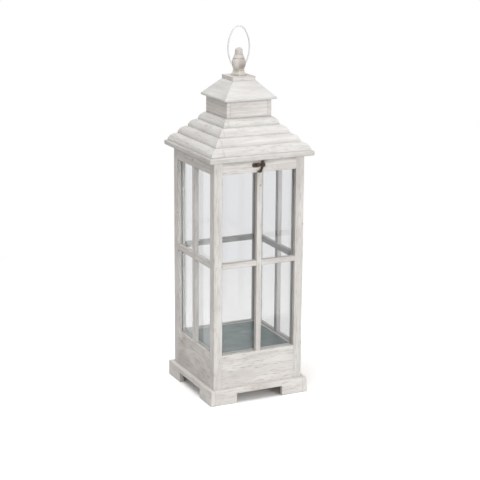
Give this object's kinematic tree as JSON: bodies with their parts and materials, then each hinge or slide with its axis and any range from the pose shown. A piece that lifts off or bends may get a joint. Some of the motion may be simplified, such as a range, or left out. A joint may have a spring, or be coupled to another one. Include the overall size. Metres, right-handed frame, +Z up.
{
  "type": "candle lantern",
  "caption": "Square wooden candle lantern with glazed, cross-barred sides on bracket feet; its stepped roof is a hinged lid with a latch, a turned finial and a swinging wire bail.",
  "frame": {"origin": "middle of the base, on the surface that the bracket feet stand on", "axes": "+Z up; the front, with the latch, faces -Y; +X is to the right as seen from the front"},
  "size_m": [0.216, 0.216, 0.7112],
  "materials": {
    "whitewashed_wood": "matte, thin white wash with grey grain showing",
    "plain_wood": "matte, bare",
    "clear_glass": "polished",
    "zinc_sheet": "satin, blue-grey",
    "aged_bronze": "satin, dark bronze",
    "bare_wire": "dull, pale"
  },
  "bodies": {
    "body": {"plinth_front": "whitewashed_wood", "plinth_right": "whitewashed_wood", "plinth_back": "whitewashed_wood", "plinth_left": "whitewashed_wood", "post_front_left": "whitewashed_wood", "post_front_right": "whitewashed_wood", "post_back_right": "whitewashed_wood", "post_back_left": "whitewashed_wood", "bottom_rail_front": "whitewashed_wood", "bottom_rail_right": "whitewashed_wood", "bottom_rail_back": "whitewashed_wood", "bottom_rail_left": "whitewashed_wood", "top_rail_front": "whitewashed_wood", "top_rail_right": "whitewashed_wood", "top_rail_back": "whitewashed_wood", "top_rail_left": "whitewashed_wood", "upright_bar_front": "whitewashed_wood", "upright_bar_right": "whitewashed_wood", "upright_bar_back": "whitewashed_wood", "upright_bar_left": "whitewashed_wood", "cross_bar_front": "whitewashed_wood", "cross_bar_right": "whitewashed_wood", "cross_bar_back": "whitewashed_wood", "cross_bar_left": "whitewashed_wood", "glass_front": "clear_glass", "glass_right": "clear_glass", "glass_back": "clear_glass", "glass_left": "clear_glass", "floor_board": "plain_wood", "floor_sheet": "zinc_sheet", "floor_battens": "plain_wood", "hinge_left_body_leaf": "aged_bronze", "hinge_right_body_leaf": "aged_bronze", "hinge_left_pin": "aged_bronze", "hinge_right_pin": "aged_bronze", "hinge_body_screws": "aged_bronze", "latch_keeper": "aged_bronze", "latch_keeper_screw": "aged_bronze"},
    "roof_lid": {"eave_board": "whitewashed_wood", "roof_course_1": "whitewashed_wood", "roof_course_2": "whitewashed_wood", "roof_course_3": "whitewashed_wood", "roof_course_4": "whitewashed_wood", "neck_front": "whitewashed_wood", "neck_right": "whitewashed_wood", "neck_back": "whitewashed_wood", "neck_left": "whitewashed_wood", "upper_roof_front": "whitewashed_wood", "upper_roof_right": "whitewashed_wood", "upper_roof_back": "whitewashed_wood", "upper_roof_left": "whitewashed_wood", "cap_block": "whitewashed_wood", "finial": "whitewashed_wood", "hinge_left_lid_leaf": "aged_bronze", "hinge_right_lid_leaf": "aged_bronze", "hinge_lid_screws": "aged_bronze", "latch_bracket": "aged_bronze", "latch_bracket_screw": "aged_bronze"},
    "bail": {"bail": "bare_wire"},
    "latch_hook": {"latch_hook": "aged_bronze"}
  },
  "joints": [
    {"name": "lid_hinge", "type": "hinge", "parent": "body", "child": "roof_lid", "pos_m": [0, 0.0964, 0.4702], "axis": [-1, 0, 0], "range_deg": [0, 100]},
    {"name": "bail_swing", "type": "hinge", "parent": "roof_lid", "child": "bail", "pos_m": [0, 0, 0.6399], "axis": [1, 0, 0], "range_deg": [-130, 130]},
    {"name": "latch_turn", "type": "hinge", "parent": "roof_lid", "child": "latch_hook", "pos_m": [0.0056, -0.0965, 0.462], "axis": [0, 1, 0], "range_deg": [-120, 57.5]}
  ]
}
